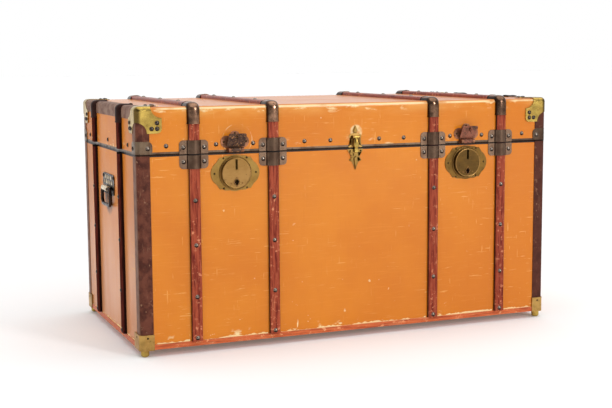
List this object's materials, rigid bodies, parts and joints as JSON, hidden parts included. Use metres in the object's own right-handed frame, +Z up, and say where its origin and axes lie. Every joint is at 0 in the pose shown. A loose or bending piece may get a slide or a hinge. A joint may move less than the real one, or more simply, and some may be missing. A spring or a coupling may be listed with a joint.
{
  "type": "travel trunk",
  "caption": "Wooden travel trunk with a hinged lid, hardwood slats, brass corner caps, box locks with hasps, a centre catch and drop handles at the ends.",
  "frame": {"origin": "on the floor under the middle of the case", "axes": "+Z up, +X along the trunk's length, front with the locks facing -Y"},
  "size_m": [1.0278, 0.5662, 0.543],
  "materials": {
    "covering": "varnished orange-tan fibre covering, scuffed",
    "binding": "worn dark brown binding",
    "boards": "bare plywood",
    "lining": "cream cloth-paper lining",
    "slat_wood": "red-brown stained hardwood, rubbed",
    "rail_wood": "orange-red stained wood",
    "lip_wood": "plain beech",
    "brass": "aged brass",
    "bronze_steel": "tarnished copper-brown plate",
    "steel": "aged grey-brown steel",
    "dark_steel": "dark bronzed steel",
    "nail_steel": "dark steel"
  },
  "bodies": {
    "body": {"back_slats": "slat_wood", "base_rails": "rail_wood", "body_back_board": "boards", "body_brass_pins": "brass", "body_corner_bindings": "binding", "body_covering": "covering", "body_front_board": "boards", "body_hinge_leaves": "steel", "body_left_board": "boards", "body_lining": "lining", "body_lip_strips": "lip_wood", "body_nails": "nail_steel", "body_right_board": "boards", "body_rivets": "nail_steel", "body_slat_clamps": "steel", "bottom_board": "boards", "bottom_corner_caps": "brass", "catch_keeper": "brass", "end_slats": "slat_wood", "foot_studs": "brass", "front_slats": "slat_wood", "handle_plate_left": "steel", "handle_plate_right": "steel", "lock_drum_left": "brass", "lock_drum_right": "brass", "lock_plate_left": "brass", "lock_plate_right": "brass"},
    "lid": {"catch_plate": "brass", "end_elbow_caps": "dark_steel", "hasp_plate_left": "bronze_steel", "hasp_plate_right": "bronze_steel", "lid_back_board": "boards", "lid_brass_pins": "brass", "lid_corner_bindings": "binding", "lid_corner_caps": "brass", "lid_corner_clips": "steel", "lid_covering": "covering", "lid_end_bindings": "binding", "lid_end_slats": "slat_wood", "lid_face_slats": "slat_wood", "lid_front_board": "boards", "lid_hinge_leaves": "steel", "lid_left_board": "boards", "lid_lining": "lining", "lid_nails": "nail_steel", "lid_right_board": "boards", "lid_rim_band": "steel", "lid_rivets": "nail_steel", "lid_slat_clamps": "steel", "lid_top_board": "boards", "lid_top_slats": "slat_wood", "pivot_pins": "nail_steel", "slat_elbow_caps": "dark_steel"},
    "catch_lever": {"catch_lever": "brass"},
    "handle_left": {"handle_bail_left": "dark_steel"},
    "handle_right": {"handle_bail_right": "dark_steel"},
    "hasp_left": {"hasp_left": "bronze_steel"},
    "hasp_right": {"hasp_right": "bronze_steel"},
    "lock_bolt_left": {"lock_bolt_left": "nail_steel"},
    "lock_bolt_right": {"lock_bolt_right": "nail_steel"}
  },
  "joints": [
    {"name": "lid_hinge", "type": "hinge", "parent": "body", "child": "lid", "pos_m": [0, 0.269, 0.43], "axis": [-1, 0, 0], "range_deg": [0, 100]},
    {"name": "hasp_left_hinge", "type": "hinge", "parent": "lid", "child": "hasp_left", "pos_m": [-0.284, -0.2675, 0.4371], "axis": [1, 0, 0], "range_deg": [-26, 150]},
    {"name": "hasp_right_hinge", "type": "hinge", "parent": "lid", "child": "hasp_right", "pos_m": [0.284, -0.2675, 0.4371], "axis": [1, 0, 0], "range_deg": [-26, 150]},
    {"name": "catch_lever_hinge", "type": "hinge", "parent": "lid", "child": "catch_lever", "pos_m": [0, -0.2665, 0.4556], "axis": [-1, 0, 0], "range_deg": [0, 110]},
    {"name": "handle_left_swing", "type": "hinge", "parent": "body", "child": "handle_left", "pos_m": [-0.5075, 0, 0.339], "axis": [0, 1, 0], "range_deg": [0, 100]},
    {"name": "handle_right_swing", "type": "hinge", "parent": "body", "child": "handle_right", "pos_m": [0.5075, 0, 0.339], "axis": [0, -1, 0], "range_deg": [0, 100]},
    {"name": "lock_bolt_left_slide", "type": "slide", "parent": "body", "child": "lock_bolt_left", "axis": [1, 0, 0], "range_m": [0, 0.007]},
    {"name": "lock_bolt_right_slide", "type": "slide", "parent": "body", "child": "lock_bolt_right", "axis": [1, 0, 0], "range_m": [0, 0.007]}
  ]
}
